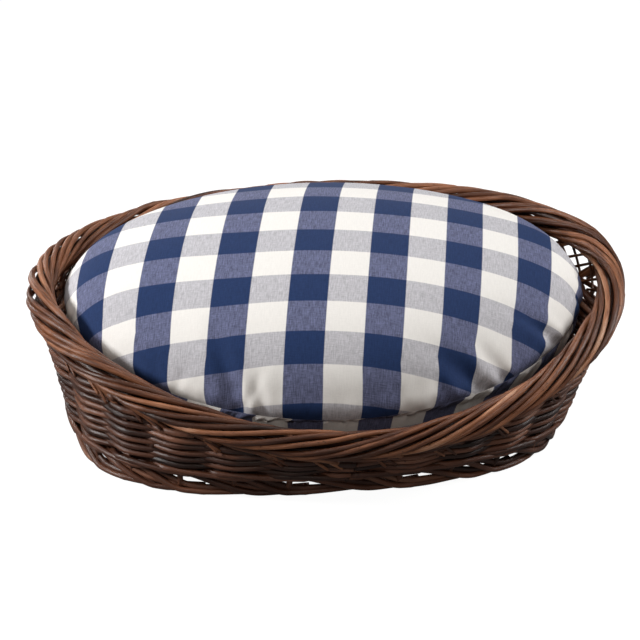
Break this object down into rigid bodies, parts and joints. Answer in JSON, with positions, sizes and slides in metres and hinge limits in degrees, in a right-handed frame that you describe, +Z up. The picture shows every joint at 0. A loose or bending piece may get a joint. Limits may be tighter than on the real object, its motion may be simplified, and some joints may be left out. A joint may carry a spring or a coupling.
{
  "type": "wicker pet bed basket",
  "caption": "Oval stained-willow pet bed basket with a dipped front, rolled border and foot, holding a thick domed gingham cushion that lifts out.",
  "frame": {"origin": "on the floor, under the middle of the rolled border's outline", "axes": "+X to the right end seen from the low front, +Y to the high back, +Z up"},
  "size_m": [0.5599, 0.45, 0.199],
  "materials": {
    "stained_willow": "satin dark stain",
    "gingham_cotton": "navy and cream check, matt",
    "polyester_filling": "white fibre",
    "zip_cloth": "navy woven tape",
    "zip_nylon": "satin",
    "zip_metal": "plated"
  },
  "bodies": {
    "basket": {"base_long_sticks": "stained_willow", "base_cross_sticks": "stained_willow", "base_weave": "stained_willow", "foot_border": "stained_willow", "upsett_wale": "stained_willow", "side_weave": "stained_willow", "side_packing": "stained_willow", "rolled_border": "stained_willow", "stake_01": "stained_willow", "stake_02": "stained_willow", "stake_03": "stained_willow", "stake_04": "stained_willow", "stake_05": "stained_willow", "stake_06": "stained_willow", "stake_07": "stained_willow", "stake_08": "stained_willow", "stake_09": "stained_willow", "stake_10": "stained_willow", "stake_11": "stained_willow", "stake_12": "stained_willow", "stake_13": "stained_willow", "stake_14": "stained_willow", "stake_15": "stained_willow", "stake_16": "stained_willow", "stake_17": "stained_willow", "stake_18": "stained_willow", "stake_19": "stained_willow", "stake_20": "stained_willow", "stake_21": "stained_willow", "stake_22": "stained_willow", "stake_23": "stained_willow", "stake_24": "stained_willow", "stake_25": "stained_willow", "stake_26": "stained_willow", "stake_27": "stained_willow", "stake_28": "stained_willow"},
    "cushion": {"cover_top_panel": "gingham_cotton", "cover_side_strip": "gingham_cotton", "cover_bottom_panel": "gingham_cotton", "cushion_filling": "polyester_filling", "zip_tape": "zip_cloth", "zip_teeth": "zip_nylon", "zip_stops": "zip_metal"},
    "zip_slider": {"zip_slider": "zip_metal"},
    "zip_pull": {"zip_pull": "zip_metal"}
  },
  "joints": [
    {"name": "cushion_lift", "type": "slide", "parent": "basket", "child": "cushion", "axis": [0, 0, 1], "range_m": [0, 0.25]},
    {"name": "zip_run", "type": "hinge", "parent": "cushion", "child": "zip_slider", "pos_m": [-0.007, -0.08338, 0.05], "axis": [0, 0, 1], "range_deg": [-31, 31]},
    {"name": "pull_turn", "type": "hinge", "parent": "zip_slider", "child": "zip_pull", "pos_m": [-0.007, 0.17256, 0.04846], "axis": [0, 0.4341, 0.9008], "range_deg": [0, 12]}
  ]
}
